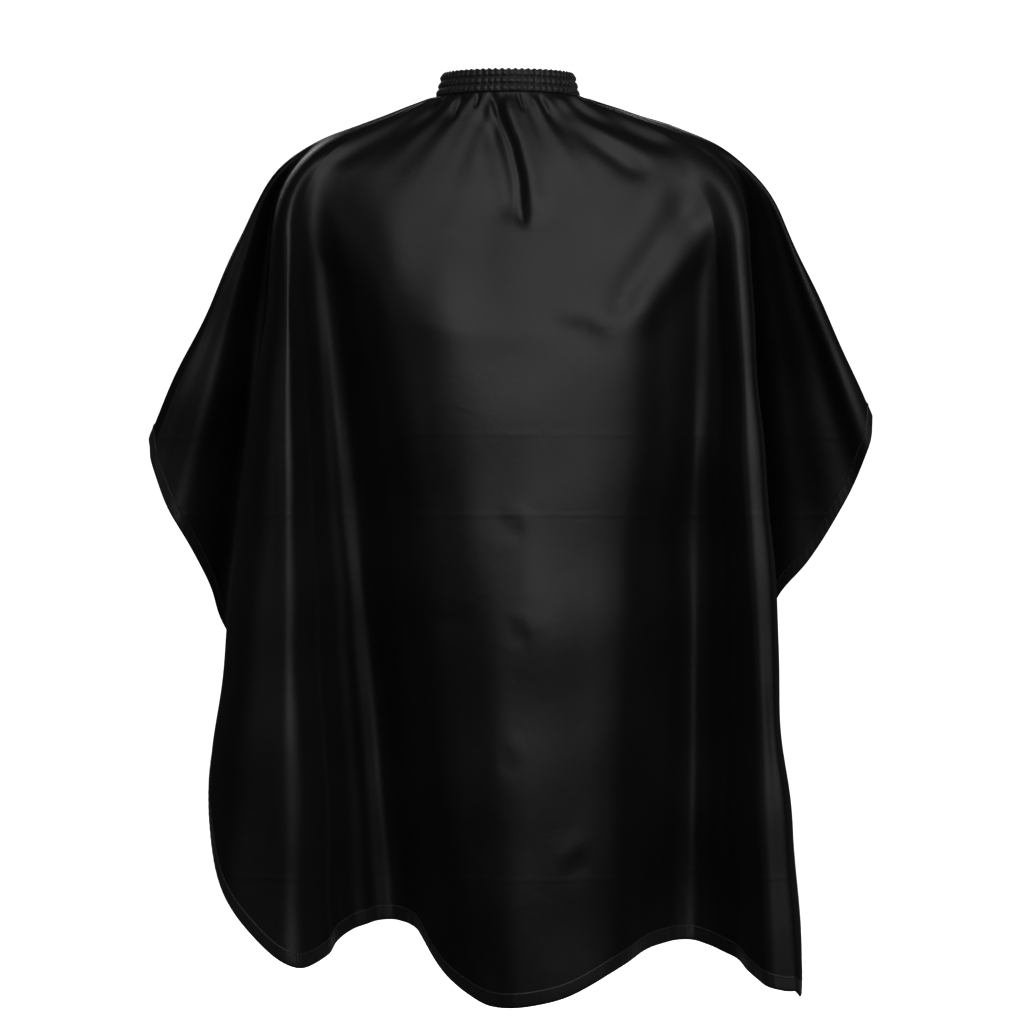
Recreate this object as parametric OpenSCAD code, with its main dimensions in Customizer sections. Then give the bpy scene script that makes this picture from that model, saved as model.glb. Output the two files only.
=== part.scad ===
/* [Cape] */
// Worn width across the two side flaps
worn_w = 736; // [600:1:900]
// Worn depth from the front folds to the back folds
worn_d = 430; // [350:1:520]
// Neck centre down to the lowest point of the front hem
front_len = 930; // [760:1:1120]
// Thickness of the panel's cloth
cloth_t = 1; // [0.8:0.1:1.2]
// Width of the turned hem
hem_w = 14; // [10:1:20]
// Thickness of the turned layer behind the hem
hem_t = 0.6; // [0.4:0.1:1]
// Gap between the two edges of the back slit
slit_gap = 2; // [1:0.1:4]

/* [Shoulders] */
// Width over the two shoulder breaks
shoulder_w = 488; // [400:1:590]
// How far the cape lies over to the wearer's left on the shoulders
shoulder_shift = 7; // [0:0.5:12]
// Depth of the shoulder breaks below the neck centre
shoulder_drop = 70; // [55:1:90]
// Reach of the cloth over the chest, in front of the neck axis
chest_reach = 150; // [120:1:180]
// Depth of the chest break below the neck centre
chest_drop = 190; // [150:1:230]
// Reach of the cloth over the back, behind the neck axis
back_reach = 122; // [100:1:150]
// Depth of the back break below the neck centre
back_drop = 120; // [95:1:145]

/* [Neckband] */
// Height of the neckband
band_h = 23; // [19:0.5:28]
// Inner radius of the neckband at its upper edge
neck_r_top = 62.5; // [52:0.5:75]
// How much wider the neckband's lower edge is, in radius
band_flare = 6.5; // [4:0.5:8]
// Thickness of the lining layer
lining_t = 1; // [0.8:0.1:1.2]
// Thickness of the outer layer between its puffs
outer_t = 0.6; // [0.4:0.1:0.8]
// Height of each shirred puff
puff = 0.6; // [0.3:0.1:1]
// Space between the two layers
channel_gap = 1.4; // [1.3:0.1:2]
// Number of elastic channels
channels = 3; // [2:1:4]
// Height of each elastic
elastic_h = 3.6; // [3:0.1:3.8]
// Thickness of each elastic
elastic_t = 1; // [0.6:0.1:1.1]
// Thread radius of the neckband stitching
thread_r = 0.35; // [0.25:0.05:0.5]
// Height of panel cloth caught inside the neckband
seam_tuck = 1.8; // [1.2:0.1:1.9]

/* [Closure] */
// Reach of the overlap tab past its last snap, in degrees round the neck
tab_reach = 19; // [10:1:24]
// Thickness of each tab
tab_t = 1; // [0.8:0.1:1.1]
// Gap at the tab's fold line
fold_gap = 0.35; // [0.3:0.05:0.6]
// Spacing of the studs, in degrees round the neck
stud_pitch = 12; // [12:0.1:14.5]
// Radius of a snap's cap
cap_r = 6.2; // [5.4:0.1:7]
// Thickness of a snap's cap
cap_t = 1.2; // [1:0.1:1.6]
// Outer radius of a snap's socket
socket_r = 5; // [4.4:0.1:5.4]
// Radius of a stud's head
stud_r = 2.4; // [2:0.02:2.9]
// Clearance between a stud's head and its socket
snap_clear = 0.8; // [0.7:0.05:1]
// Radius of a snap's rivet
rivet_r = 1.4; // [1.1:0.1:1.5]
// Clearance round a rivet in the cloth
rivet_clear = 0.1; // [0.05:0.05:0.2]

/* [Hidden] */

black_cloth = "#1a1a1c";
black_thread = "#2c2c2f";
white_elastic = "#e6e4dc";
nickel = "#b9bbbd";

// Directions round the neck, in degrees from the front centre, the wearer's left side being positive.
band_from = -178;
underlap_to = 178;
tab_root = 181;
root_to = 193;
first_stud = 166;
last_stud = first_stud - 3 * stud_pitch;
tab_end = first_stud - stud_pitch - tab_reach;
underlap_reach = 7.5;
underlap_from = last_stud - underlap_reach;
turn_gap = 0.5;
band_to = underlap_from - turn_gap;

// The neckband's cone.
band_low = -11;
band_top = band_low + band_h;
band_mid = (band_low + band_top) / 2;
neck_r_low = neck_r_top + band_flare;
cone_slope = -band_flare / band_h;
cone_tilt = atan(-cone_slope);
outer_from = lining_t + channel_gap;
channel_h = band_h / channels;
layer_gap = 0.1;
slit_lift = 0.25;
thread_gap = 0.02;
thread_inset = 0.5;
root_from = outer_from + outer_t + puff + 2 * thread_r + thread_gap + layer_gap;

// The snap's parts, stacked outwards from the neckband's inner face.
flange_t = 0.5;
flange_r = stud_r + 2.2;
stud_neck_r = stud_r - 0.5;
stud_neck_h = 1.3;
stud_head_h = 0.5;
socket_h = 2.6;
socket_roof = 0.4;
socket_lift = 0.2;
seat_gap = 0.2;
rivet_head_t = 0.5;
spring_r = 0.25;
flange_from = tab_t;
stud_top = flange_from + flange_t + stud_neck_h + stud_head_h;
socket_from = flange_from + flange_t + socket_lift;
socket_top = socket_from + socket_h;
tab_from = socket_top + seat_gap;
tab_to = tab_from + tab_t;
stud_turns = [for (k = [0:3]) first_stud - stud_pitch * k];
socket_turns = [for (k = [0:1]) first_stud - stud_pitch * k];
spring_low = 0.7;
spring_ring_r = stud_r + snap_clear + 0.4;
fold_turn = fold_gap / cone_r(band_mid, tab_to) * 180 / PI;
thread_edge = 2;
thread_end = 1;

// The panel's grid: columns to each stretch between hem keys, and rows below the break.
key_steps = 2;
hang_rows = 5;
bend_reach = 70;
seam_inset = 1.5;
hem_seam = hem_w - seam_inset;

// The hem's shape. Each row is a direction round the neck, then the hem's place there as a share
// of half the worn width, of half the worn depth and of the front length.
hem_shape = [
    [-180, 0.00, 0.84, 0.385],
    [-170, -0.14, 0.74, 0.385],
    [-160, -0.26, 0.88, 0.385],
    [-150, -0.38, 0.70, 0.40],
    [-140, -0.50, 0.86, 0.44],
    [-130, -0.64, 0.72, 0.52],
    [-120, -0.74, 0.78, 0.47],
    [-110, -0.86, 0.66, 0.41],
    [-101, -0.95, 0.36, 0.375],
    [-94, -0.98, 0.16, 0.38],
    [-88, -0.99, 0.04, 0.41],
    [-84, -0.935, 0.03, 0.465],
    [-81, -0.86, 0.10, 0.52],
    [-78.5, -0.81, 0.18, 0.57],
    [-76, -0.775, 0.14, 0.625],
    [-74, -0.795, -0.08, 0.72],
    [-72, -0.81, -0.40, 0.79],
    [-70, -0.765, -0.66, 0.865],
    [-67.5, -0.68, -0.82, 0.915],
    [-64, -0.565, -0.86, 0.945],
    [-60, -0.49, -0.68, 0.935],
    [-55, -0.435, -0.50, 0.915],
    [-48, -0.36, -0.36, 0.905],
    [-41, -0.29, -0.34, 0.905],
    [-33, -0.235, -0.46, 0.915],
    [-23, -0.17, -0.70, 0.955],
    [-12, -0.075, -0.89, 0.98],
    [0, 0.02, -0.98, 0.985],
    [11, 0.15, -0.93, 0.975],
    [21, 0.275, -0.82, 0.95],
    [31, 0.385, -0.54, 0.93],
    [41, 0.50, -0.38, 0.925],
    [50, 0.60, -0.54, 0.94],
    [57, 0.695, -0.82, 0.965],
    [62, 0.765, -0.84, 0.97],
    [65, 0.785, -0.70, 0.96],
    [67.5, 0.755, -0.16, 0.80],
    [70, 0.70, 0.18, 0.69],
    [72.5, 0.70, 0.30, 0.615],
    [75, 0.745, 0.27, 0.565],
    [78, 0.835, 0.18, 0.52],
    [82, 0.935, 0.08, 0.45],
    [86, 0.995, 0.04, 0.395],
    [90, 1.01, 0.07, 0.36],
    [95, 1.00, 0.20, 0.36],
    [101, 0.97, 0.40, 0.36],
    [110, 0.88, 0.66, 0.40],
    [120, 0.75, 0.80, 0.46],
    [130, 0.66, 0.70, 0.52],
    [140, 0.51, 0.86, 0.45],
    [150, 0.38, 0.72, 0.40],
    [160, 0.27, 0.88, 0.39],
    [170, 0.13, 0.74, 0.385],
    [180, 0.00, 0.84, 0.385]];

function unit(v) = v / norm(v);
function sgn(v) = v < 0 ? -1 : 1;
function turned(t, r, z) = [r * sin(t), -r * cos(t), z];
function cone_r(z, lift = 0) = neck_r_low + (z - band_low) * cone_slope + lift / cos(cone_tilt);

// Hem key that starts the stretch holding direction t.
function key_below(t, k = 0) = (k + 2 >= len(hem_shape) || hem_shape[k + 1][0] > t) ? k : key_below(t, k + 1);

// Slope of hem value c at key k, from its two neighbours.
function key_slope(k, c) =
    let (a = max(k - 1, 0), b = min(k + 1, len(hem_shape) - 1))
    (hem_shape[b][c] - hem_shape[a][c]) / (hem_shape[b][0] - hem_shape[a][0]);

// Cubic through the hem keys, for value c at direction t.
function hem_value(t, c) =
    let (k = key_below(t), p = hem_shape[k], q = hem_shape[k + 1], w = q[0] - p[0], u = (t - p[0]) / w)
    (2 * u * u * u - 3 * u * u + 1) * p[c] + (u * u * u - 2 * u * u + u) * w * key_slope(k, c)
    + (3 * u * u - 2 * u * u * u) * q[c] + (u * u * u - u * u) * w * key_slope(k + 1, c);

// Depth share the hem would have without folds: the front's, then an even turn to the back's.
function even_depth(t) =
    let (u = min(max((abs(t) - 50) / 80, 0), 1))
    -0.6 + 1.4 * (3 * u * u - 2 * u * u * u);

// Hem point as it would lie without folds, and how far its fold moves it, along y.
function hem_point(t) = [hem_value(t, 1) * worn_w / 2 + slit_gap / 2 * t / 180,
                         even_depth(t) * worn_d / 2,
                         -hem_value(t, 3) * front_len];
function hem_fold(t) = (hem_value(t, 2) - even_depth(t)) * worn_d / 2;

// Line where the cloth breaks from lying on the shoulders to hanging.
function break_point(t) =
    let (s = sin(t), c = cos(t), reach = c > 0 ? chest_reach : back_reach, fall = c > 0 ? chest_drop : back_drop)
    [sgn(s) * shoulder_w / 2 * pow(abs(s), 0.85 - 0.15 * c) + shoulder_shift + slit_gap / 2 * t / 180,
     -sgn(c) * reach * pow(abs(c), 0.8),
     -shoulder_drop - (fall - shoulder_drop) * pow(abs(c), 2.5)];

tuck_lift = lining_t + (channel_gap - cloth_t) / 2 + cloth_t;
neck_share = 1 - asin(slit_gap / 2 / neck_r_low) / 180;
function neck_point(t, z) = turned(t * neck_share, cone_r(z, tuck_lift), z);

// How late a column's fold opens below the break: latest a little to the left of the front's middle.
function opening(t) = 1.4 + 0.7 * exp(-pow((t - 16) / 28, 2));

// One column of the panel: its tucked edge, neck seam, break, hem and fold, each at its own direction,
// and how its fold opens.
function column(neck_t, break_t, hem_t) =
    [neck_point(neck_t, band_low + seam_tuck), neck_point(neck_t, band_low), break_point(break_t),
     hem_point(hem_t), hem_fold(hem_t), opening(hem_t)];

// Column that runs beside a slit edge, as far from it as the hem is wide; side is 1 or -1.
first_key = hem_shape[1];
function slit_column(side) =
    column(side * (180 - asin(hem_w / neck_r_low)), side * (180 - asin(hem_w / (shoulder_w / 2))),
           side * (180 - hem_w / (-first_key[1] * worn_w / 2) * (first_key[0] + 180)));

// Directions of the other columns: equal steps from one hem key to the next, clear of the slit columns.
edge_turn = 179 - asin(hem_w / neck_r_low);
turns = [for (k = [0:len(hem_shape) - 2]) for (j = [0:key_steps - 1])
         let (t = hem_shape[k][0] + (hem_shape[k + 1][0] - hem_shape[k][0]) * j / key_steps)
         if (abs(t) < edge_turn) t];
columns = concat([column(-180, -180, -180), slit_column(-1)],
                 [for (t = turns) column(t, t, t)],
                 [slit_column(1), column(180, 180, 180)]);
last_column = len(columns) - 1;

// Point of a column: f runs from -1 at the tucked edge, over 0 at the neck seam and 1 at the break,
// to 2 at the hem. The break is rounded by a quadratic curve, and the fold opens from there down.
function path(c, f) =
    let (a = norm(c[2] - c[1]), b = norm(c[3] - c[2]), w = min(bend_reach, 0.45 * a, 0.45 * b),
         lo = 1 - w / a, hi = 1 + w / b, u = (f - lo) / (hi - lo),
         p = c[2] + (c[1] - c[2]) * w / a, q = c[2] + (c[3] - c[2]) * w / b,
         v = max(f - lo, 0) / (2 - lo), opened = [0, c[4] * (1 - pow(1 - pow(v, c[5]), 3)), 0])
    f < 0 ? c[1] + (c[0] - c[1]) * -f
    : f < lo ? c[1] + (c[2] - c[1]) * f
    : f > hi ? c[2] + (c[3] - c[2]) * (f - 1) + opened
    : p * (1 - u) * (1 - u) + c[2] * 2 * u * (1 - u) + q * u * u + opened;

// Inward normal of the cloth.
function inward(i, f) =
    let (a = columns[max(i - 1, 0)], b = columns[min(i + 1, last_column)], c = columns[i], e = 0.04)
    unit(cross(path(b, f) - path(a, f), path(c, min(f + e, 2)) - path(c, max(f - e, -1))));

function cloth_point(i, f, depth) = path(columns[i], f) + inward(i, f) * depth;

// Distance d up from the hem, as a value of f.
function above_hem(i, d) = 2 - d / norm(columns[i][3] - columns[i][2]);

// Values of f at column i's rows. The last row but one is at the hem's upper edge.
bend_end = 1.2;
function rows(i) = concat([-1, 0], [for (f = [0.2:0.2:bend_end]) f],
                          [for (k = [1:hang_rows]) bend_end + (above_hem(i, hem_w) - bend_end) * k / hang_rows], [2]);

// Closed solid through a list of sections, each a ring of points whose second half comes back behind
// the first. Both halves split their quads along the same diagonal, so that a thin wall stays whole.
module skin(sections) {
    n = len(sections[0]);
    m = len(sections);
    sides = [for (i = [0:m - 2]) for (j = [0:n - 1])
             let (k = (j + 1) % n, a = i * n + j, b = (i + 1) * n + j, c = (i + 1) * n + k, d = i * n + k)
             each j < n / 2 ? [[a, b, c], [a, c, d]] : [[a, b, d], [b, c, d]]];
    caps = [for (j = [0:n / 2 - 2]) let (a = j, b = j + 1, c = n - 2 - j, d = n - 1 - j, e = (m - 1) * n)
            each [[a, b, c], [a, c, d], [e + c, e + b, e + a], [e + d, e + c, e + a]]];
    polyhedron(points = [for (s = sections) each s], faces = concat(sides, caps), convexity = 10);
}

// Section of the cloth at column i between two rows: down its near face and back up its far face.
function section(i, first, last, near, far) =
    concat([for (k = [first:last]) cloth_point(i, rows(i)[k], near)],
           [for (k = [last:-1:first]) cloth_point(i, rows(i)[k], far)]);

// Strip lying on the cloth, between two columns, two heights above the hem and two depths.
module cloth_strip(first, last, low, high, near, far) {
    skin([for (i = [first:last])
          [cloth_point(i, above_hem(i, high), near), cloth_point(i, above_hem(i, low), near),
           cloth_point(i, above_hem(i, low), far), cloth_point(i, above_hem(i, high), far)]]);
}

last_row = len(rows(0)) - 1;

// Share s of the way from a slit edge at column i to the column beside it, at row k.
function beside_slit(i, k, s, depth) =
    let (beside = i == 0 ? 1 : last_column - 1)
    cloth_point(i, rows(i)[k], depth) * (1 - s) + cloth_point(beside, rows(beside)[k], depth) * s;

// Strip along the slit edge at column i, between two shares of the hem's width and two depths.
module slit_strip(i, from, to, near, far) {
    shares = i == 0 ? [from, to] : [to, from];
    skin([for (s = shares)
          concat([for (k = [1:last_row - 1]) beside_slit(i, k, s, near)],
                 [for (k = [last_row - 1:-1:1]) beside_slit(i, k, s, far)])]);
}

module hem_strip(first, last) {
    color(black_cloth)
    cloth_strip(first, last, 0, hem_w, cloth_t + layer_gap, cloth_t + layer_gap + hem_t);
}

// First column at or past direction t.
function column_at(t) = 2 + len([for (a = turns) if (a < t) 1]);
corner_front = 64;
corner_back = 130;

module cape_panel() {
    color(black_cloth) skin([for (i = [0:last_column]) section(i, 0, last_row, 0, cloth_t)]);
}

module hem_front() { hem_strip(column_at(-corner_front), column_at(corner_front)); }
module hem_left() { hem_strip(column_at(corner_front), column_at(corner_back)); }
module hem_right() { hem_strip(column_at(-corner_back), column_at(-corner_front)); }
module hem_back_left() { hem_strip(column_at(corner_back), last_column); }
module hem_back_right() { hem_strip(0, column_at(-corner_back)); }

module slit_hem_left() {
    color(black_cloth) slit_strip(last_column, 0, 1, cloth_t + layer_gap, cloth_t + layer_gap + hem_t);
}

module slit_hem_right() {
    color(black_cloth) slit_strip(0, 0, 1, cloth_t + layer_gap, cloth_t + layer_gap + hem_t);
}

module hem_stitching() {
    color(black_thread)
    cloth_strip(0, last_column, hem_seam - thread_r, hem_seam + thread_r, -layer_gap - 2 * thread_r, -layer_gap);
}

module slit_stitching() {
    low = (hem_seam - thread_r) / hem_w;
    high = (hem_seam + thread_r) / hem_w;
    color(black_thread)
    for (i = [0, last_column]) slit_strip(i, low, high, -slit_lift - 2 * thread_r, -slit_lift);
}

// Layer of the neckband's cone between two lifts off its inner face and two directions round the neck.
module band_layer(from_lift, to_lift, low, top, from_turn, to_turn) {
    rotate([0, 0, from_turn - 90])
    rotate_extrude(angle = to_turn - from_turn, $fn = 96)
    polygon([[cone_r(low, from_lift), low], [cone_r(low, to_lift), low],
             [cone_r(top, to_lift), top], [cone_r(top, from_lift), top]]);
}

// Round thread lying on the neckband's cone.
module band_thread(lift, z, from_turn, to_turn) {
    rotate([0, 0, from_turn - 90])
    rotate_extrude(angle = to_turn - from_turn, $fn = 96)
    translate([cone_r(z, lift), z]) circle(r = thread_r, $fn = 16);
}

// Lift of the outer layer's face at height z, with one puff to a channel.
function puff_lift(z) = outer_from + outer_t + puff * abs(sin(180 * (z - band_low) / channel_h));

module neckband_outer() {
    steps = 6 * channels;
    color(black_cloth)
    rotate([0, 0, band_from - 90])
    rotate_extrude(angle = band_to - band_from, $fn = 96)
    polygon(concat([for (k = [0:steps]) let (z = band_low + band_h * k / steps) [cone_r(z, puff_lift(z)), z]],
                   [[cone_r(band_top, outer_from), band_top], [cone_r(band_low, outer_from), band_low]]));
}

module neckband_lining() {
    color(black_cloth) band_layer(0, lining_t, band_low, band_top, band_from, band_to);
}

module elastic(channel) {
    low = band_low + channel_h * channel + (channel_h - elastic_h) / 2;
    inner = lining_t + (channel_gap - elastic_t) / 2;
    color(white_elastic) band_layer(inner, inner + elastic_t, low, low + elastic_h, band_from, band_to);
}

module elastic_bottom() { elastic(0); }
module elastic_middle() { elastic((channels - 1) / 2); }
module elastic_top() { elastic(channels - 1); }

// Stitch row at the foot of a puff, lying on the outer layer's face.
module shirring_row(row) {
    inset = thread_r + thread_inset;
    z = min(max(band_low + band_h * row / 3, band_low + inset), band_top - inset);
    lift = max(puff_lift(z - thread_r), puff_lift(z + thread_r)) + thread_r + thread_gap;
    color(black_thread) band_thread(lift, z, band_from, band_to);
}

module shirring_row_1() { shirring_row(0); }
module shirring_row_2() { shirring_row(1); }
module shirring_row_3() { shirring_row(2); }
module shirring_row_4() { shirring_row(3); }

// Stands children on the neckband's inner face, pointing outwards, at direction t.
module on_band(t) {
    rotate([0, 0, t])
    translate([0, -cone_r(band_mid), band_mid])
    rotate([90 - cone_tilt, 0, 0])
    children();
}

module rivet_holes(turns) {
    for (t = turns) on_band(t) translate([0, 0, -5]) cylinder(r = rivet_r + rivet_clear, h = 20, $fn = 48);
}

module underlap_tab() {
    color(black_cloth)
    difference() {
        band_layer(0, tab_t, band_low, band_top, underlap_from, underlap_to);
        rivet_holes(stud_turns);
    }
}

module underlap_stitching() {
    color(black_thread)
    for (z = [band_low + thread_edge + seam_tuck, band_top - thread_edge])
        band_thread(tab_t + thread_r, z, underlap_from + thread_end, underlap_to - thread_end);
}

module overlap_root() {
    root_face = max(tab_to, root_from + tab_t);
    color(black_cloth) band_layer(root_from, root_face, band_low, band_top, tab_root + fold_turn, root_to);
}

module overlap_tab() {
    color(black_cloth)
    difference() {
        band_layer(tab_from, tab_to, band_low, band_top, tab_end, tab_root);
        rivet_holes(socket_turns);
    }
}

module overlap_stitching() {
    color(black_thread)
    for (z = [band_low + thread_edge, band_top - thread_edge])
        band_thread(tab_to + thread_r, z, tab_end + thread_end, tab_root - thread_end);
}

module snap_caps() {
    color(nickel)
    for (t = socket_turns) on_band(t) {
        rotate_extrude($fn = 64)
        polygon([[0, tab_to], [cap_r, tab_to], [cap_r, tab_to + 0.4 * cap_t], [0.85 * cap_r, tab_to + 0.8 * cap_t],
                 [0.45 * cap_r, tab_to + cap_t], [0, tab_to + cap_t]]);
        translate([0, 0, socket_top - socket_roof - 0.1])
        cylinder(r = rivet_r, h = tab_to - socket_top + socket_roof + 0.1, $fn = 48);
    }
}

module snap_sockets() {
    color(nickel)
    for (t = socket_turns) on_band(t) translate([0, 0, socket_from])
    difference() {
        cylinder(r = socket_r, h = socket_h, $fn = 64);
        translate([0, 0, -1]) cylinder(r = stud_r + snap_clear, h = socket_h - socket_roof + 1, $fn = 64);
        cylinder(r = rivet_r + rivet_clear, h = socket_h + 1, $fn = 48);
        translate([0, 0, spring_low]) cylinder(r = spring_ring_r + spring_r + 0.1, h = 2 * spring_r + 0.2, $fn = 64);
    }
}

// Split ring spring in each socket's groove.
module snap_springs() {
    color(nickel)
    for (t = socket_turns) on_band(t)
    translate([0, 0, socket_from + spring_low + 0.1 + spring_r])
    rotate_extrude(angle = 320, $fn = 64)
    translate([spring_ring_r, 0]) circle(r = spring_r, $fn = 16);
}

module snap_studs() {
    bore = rivet_r + rivet_clear;
    color(nickel)
    for (t = stud_turns) on_band(t)
    rotate_extrude($fn = 64)
    polygon([[bore, flange_from], [flange_r, flange_from], [flange_r, flange_from + flange_t],
             [stud_neck_r, flange_from + flange_t], [stud_neck_r, flange_from + flange_t + stud_neck_h],
             [stud_r, flange_from + flange_t + stud_neck_h + 0.1], [stud_r, stud_top - 0.15],
             [stud_r - 0.2, stud_top], [0, stud_top], [0, stud_top - 0.4], [bore, stud_top - 0.4]]);
}

module snap_rivets() {
    color(nickel)
    for (t = stud_turns) on_band(t) {
        translate([0, 0, -rivet_head_t - seat_gap]) cylinder(r = flange_r, h = rivet_head_t, $fn = 64);
        translate([0, 0, -seat_gap]) cylinder(r = rivet_r, h = stud_top - 0.5 + seat_gap, $fn = 48);
    }
}

cape_panel();
hem_front();
hem_left();
hem_right();
hem_back_left();
hem_back_right();
slit_hem_left();
slit_hem_right();
hem_stitching();
slit_stitching();
neckband_outer();
neckband_lining();
elastic_top();
elastic_middle();
elastic_bottom();
shirring_row_1();
shirring_row_2();
shirring_row_3();
shirring_row_4();
underlap_tab();
underlap_stitching();
overlap_root();
overlap_tab();
overlap_stitching();
snap_caps();
snap_sockets();
snap_springs();
snap_studs();
snap_rivets();
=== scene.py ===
"""Barber cape: a satin nylon panel gathered into a shirred elastic neckband that snaps shut behind the neck."""

import math

import bpy
import numpy as np
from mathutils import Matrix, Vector


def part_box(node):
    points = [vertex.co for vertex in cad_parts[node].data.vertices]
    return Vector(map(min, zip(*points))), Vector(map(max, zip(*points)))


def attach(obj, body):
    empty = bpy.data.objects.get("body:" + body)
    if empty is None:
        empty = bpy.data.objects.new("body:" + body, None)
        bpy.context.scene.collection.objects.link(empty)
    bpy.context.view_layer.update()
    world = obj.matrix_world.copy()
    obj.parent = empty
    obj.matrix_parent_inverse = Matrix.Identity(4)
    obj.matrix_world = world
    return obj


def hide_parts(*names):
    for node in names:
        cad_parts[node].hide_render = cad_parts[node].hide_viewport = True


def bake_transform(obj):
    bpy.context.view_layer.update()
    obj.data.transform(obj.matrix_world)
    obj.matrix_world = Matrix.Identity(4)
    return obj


bl_info = {
    "name": "Barber Cape",
    "version": (1, 0, 0),
    "blender": (4, 5, 0),
    "location": "View3D > Sidebar > Cape",
    "description": "Sews the packed cape in satin nylon, with its hems, shirred neckband and snap closure",
    "category": "Object",
}

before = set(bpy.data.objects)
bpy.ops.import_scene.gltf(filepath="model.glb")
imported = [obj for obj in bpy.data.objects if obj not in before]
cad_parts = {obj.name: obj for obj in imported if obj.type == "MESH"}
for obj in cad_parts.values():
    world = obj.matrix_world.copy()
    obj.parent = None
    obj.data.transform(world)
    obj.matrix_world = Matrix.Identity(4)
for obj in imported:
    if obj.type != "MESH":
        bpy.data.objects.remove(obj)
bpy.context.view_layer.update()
BAND_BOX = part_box("neckband_lining")
MM = 0.001

# Directions round the neck in degrees from the front centre, the wearer's left side being positive.
BAND_FROM, BAND_TO = -178.0, 122.0
UNDERLAP_FROM, UNDERLAP_TO = 122.5, 178.0
TAB_END, TAB_ROOT, ROOT_TO = 135.0, 181.0, 193.0
CORNER_FRONT, CORNER_BACK = 64.0, 130.0

# Where the cloth breaks over the shoulders, chest and back, in millimetres from the neck's centre.
SHOULDER_HALF, SHOULDER_SHIFT, SHOULDER_DROP = 244, 7, 70
CHEST_REACH, CHEST_FALL, BACK_REACH, BACK_FALL = 150, 190, 122, 120

# The neckband's cone: heights of its edges, inner radius at its lower edge and how it narrows upwards.
BAND_LOW, BAND_TOP = BAND_BOX[0].z, BAND_BOX[1].z
BAND_H = BAND_TOP - BAND_LOW
CHANNELS = 3
CONE_R = 69 * MM
CONE_FALL = 6.5 * MM / BAND_H
CONE_COS = math.cos(math.atan(CONE_FALL))
SLIT_GAP, SEAM_TUCK = 2 * MM, 1.8 * MM
LINING_T, CHANNEL_GAP, OUTER_T = 1.0 * MM, 1.4 * MM, 0.6 * MM
# How far down from the band's top edge its frill reaches.
FRILL_H = 2.6 * MM
# Radius of the neck hole in the flat cloth before it is gathered, in metres.
FLAT_NECK_R = 0.16
TUCK_LIFT = LINING_T + CHANNEL_GAP / 2 + 0.3 * MM

# The hem, as direction round the neck, then its place as shares of half the worn width, of half the
# worn depth and of the front length. These are the CAD's own keys.
HEM_KEYS = np.array([
    (-180, 0.00, 0.84, 0.385), (-170, -0.14, 0.74, 0.385), (-160, -0.26, 0.88, 0.385),
    (-150, -0.38, 0.70, 0.40), (-140, -0.50, 0.86, 0.44), (-130, -0.64, 0.72, 0.52), (-120, -0.74, 0.78, 0.47),
    (-110, -0.86, 0.66, 0.41), (-101, -0.95, 0.36, 0.375), (-94, -0.98, 0.16, 0.38), (-88, -0.99, 0.04, 0.41),
    (-84, -0.935, 0.03, 0.465), (-81, -0.86, 0.10, 0.52), (-78.5, -0.81, 0.18, 0.57), (-76, -0.775, 0.14, 0.625),
    (-74, -0.795, -0.08, 0.72), (-72, -0.81, -0.40, 0.79), (-70, -0.765, -0.66, 0.865),
    (-67.5, -0.68, -0.82, 0.915), (-64, -0.565, -0.86, 0.945), (-60, -0.49, -0.68, 0.935),
    (-55, -0.435, -0.50, 0.915), (-48, -0.36, -0.36, 0.905), (-41, -0.29, -0.34, 0.905),
    (-33, -0.235, -0.46, 0.915), (-23, -0.17, -0.70, 0.955), (-12, -0.075, -0.89, 0.98),
    (0, 0.02, -0.98, 0.985), (11, 0.15, -0.93, 0.975), (21, 0.275, -0.82, 0.95), (31, 0.385, -0.54, 0.93),
    (41, 0.50, -0.38, 0.925), (50, 0.60, -0.54, 0.94), (57, 0.695, -0.82, 0.965), (62, 0.765, -0.84, 0.97),
    (65, 0.785, -0.70, 0.96), (67.5, 0.755, -0.16, 0.80), (70, 0.70, 0.18, 0.69), (72.5, 0.70, 0.30, 0.615),
    (75, 0.745, 0.27, 0.565), (78, 0.835, 0.18, 0.52), (82, 0.935, 0.08, 0.45), (86, 0.995, 0.04, 0.395),
    (90, 1.01, 0.07, 0.36), (95, 1.00, 0.20, 0.36), (101, 0.97, 0.40, 0.36), (110, 0.88, 0.66, 0.40),
    (120, 0.75, 0.80, 0.46), (130, 0.66, 0.70, 0.52), (140, 0.51, 0.86, 0.45), (150, 0.38, 0.72, 0.40),
    (160, 0.27, 0.88, 0.39), (170, 0.13, 0.74, 0.385), (180, 0.00, 0.84, 0.385)])

# Single folds, each along a line of given points (x, z) in millimetres on the cape's front:
# the height and half width of the roll beside the line, how far it takes to fade in, and the line.
FRONT_FOLDS = [
    (5.0, 12, 30, [(-20, -12), (-12, -35), (1, -66), (9, -101), (16, -150)]),
    (3.2, 7, 30, [(40, -13), (100, -38), (178, -66)]),
    (3.0, 9, 30, [(34, -14), (88, -56), (150, -96)]),
    (-2.6, 8, 30, [(-52, -14), (-118, -44), (-190, -84)]),
    (5.0, 14, 40, [(205, -111), (168, -160), (129, -218), (112, -262)]),
    (1.8, 12, 40, [(27, -243), (74, -246), (119, -263)]),
    (1.5, 6, 12, [(-13, -436), (6, -441), (22, -452)]),
    (0.8, 7, 16, [(-79, -531), (-28, -531)]),
    (1.3, 6, 12, [(-3, -543), (14, -547), (27, -558)]),
    (1.0, 7, 12, [(-10, -663), (2, -668), (15, -680)]),
    (1.5, 8, 14, [(50, -784), (66, -770), (84, -765)]),
]

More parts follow.
